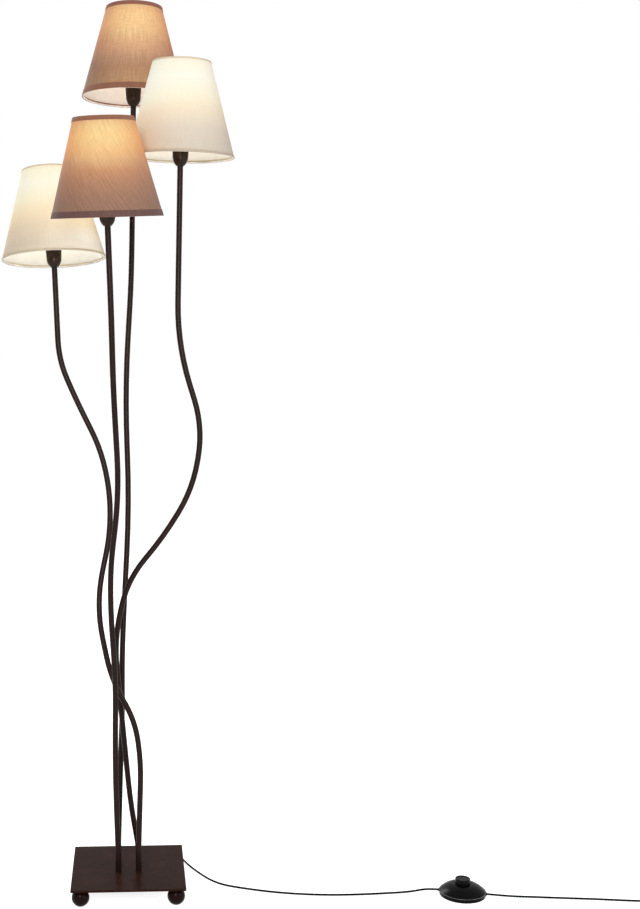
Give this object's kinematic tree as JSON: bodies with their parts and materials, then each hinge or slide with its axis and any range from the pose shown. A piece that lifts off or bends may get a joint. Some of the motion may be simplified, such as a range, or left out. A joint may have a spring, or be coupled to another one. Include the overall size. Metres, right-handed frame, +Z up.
{
  "type": "tree floor lamp",
  "caption": "Tree floor lamp: bent tubes rise and cross from a square plate on ball feet, each to a tapered cloth shade; cord with a round foot switch.",
  "frame": {"origin": "on the floor, under the middle of the bounding box of the lamp itself, without the cord, the foot switch and the plug", "axes": "+Z up, +X towards the side the cord and its foot switch lie on, -Y towards the front that faces the camera"},
  "size_m": [1.1825, 0.4516, 1.5683],
  "materials": {
    "plate_paint": "satin dark brown",
    "ball_black": "soft gloss black",
    "rod_paint": "satin dark brown",
    "steel": "plain zinc",
    "black_plastic": "matte",
    "white_plastic": "matte",
    "lead_sheath": "matte",
    "nickel": "nickel plate",
    "brass": "plain",
    "bulb_glass": "frosted",
    "taupe_cloth": "slubby linen weave",
    "white_cloth": "plain fine weave",
    "white_wire": "white gloss",
    "switch_black": "gloss",
    "cord_black": "satin"
  },
  "bodies": {
    "lamp": {"base_plate": "plate_paint", "ball_feet": "ball_black", "foot_studs": "steel", "rod_nipples": "steel", "rod_washers": "steel", "rod_nuts": "steel", "junction_cover": "black_plastic", "cover_screws": "steel", "terminal_block": "white_plastic", "cord_grip": "black_plastic", "rod_front": "rod_paint", "lead_front": "lead_sheath", "holder_cup_front": "rod_paint", "lampholder_front": "white_plastic", "bulb_cap_front": "nickel", "bulb_glass_front": "bulb_glass", "shade_front": "taupe_cloth", "shade_frame_front": "white_wire", "shade_ring_front": "white_plastic", "rod_right": "rod_paint", "lead_right": "lead_sheath", "holder_cup_right": "rod_paint", "lampholder_right": "white_plastic", "bulb_cap_right": "nickel", "bulb_glass_right": "bulb_glass", "shade_right": "white_cloth", "shade_frame_right": "white_wire", "shade_ring_right": "white_plastic", "rod_back": "rod_paint", "lead_back": "lead_sheath", "holder_cup_back": "rod_paint", "lampholder_back": "white_plastic", "bulb_cap_back": "nickel", "bulb_glass_back": "bulb_glass", "shade_back": "taupe_cloth", "shade_frame_back": "white_wire", "shade_ring_back": "white_plastic", "rod_left": "rod_paint", "lead_left": "lead_sheath", "holder_cup_left": "rod_paint", "lampholder_left": "white_plastic", "bulb_cap_left": "nickel", "bulb_glass_left": "bulb_glass", "shade_left": "white_cloth", "shade_frame_left": "white_wire", "shade_ring_left": "white_plastic", "cup_locknuts": "steel", "holder_contacts": "brass", "switch_base": "switch_black", "switch_housing": "switch_black", "button_spring": "steel", "switch_block": "white_plastic", "switch_screws": "steel", "supply_cord": "cord_black", "plug_cord": "cord_black", "cord_coil": "cord_black", "cord_tail": "cord_black", "plug_body": "cord_black", "plug_pins": "nickel"},
    "button": {"switch_button": "switch_black"}
  },
  "joints": [
    {"name": "button_press", "type": "slide", "parent": "lamp", "child": "button", "axis": [0, 0, -1], "range_m": [0, 0.003], "stiffness_N_per_m": 1200, "springref_m": -0.001, "deforming": ["button_spring"]}
  ]
}
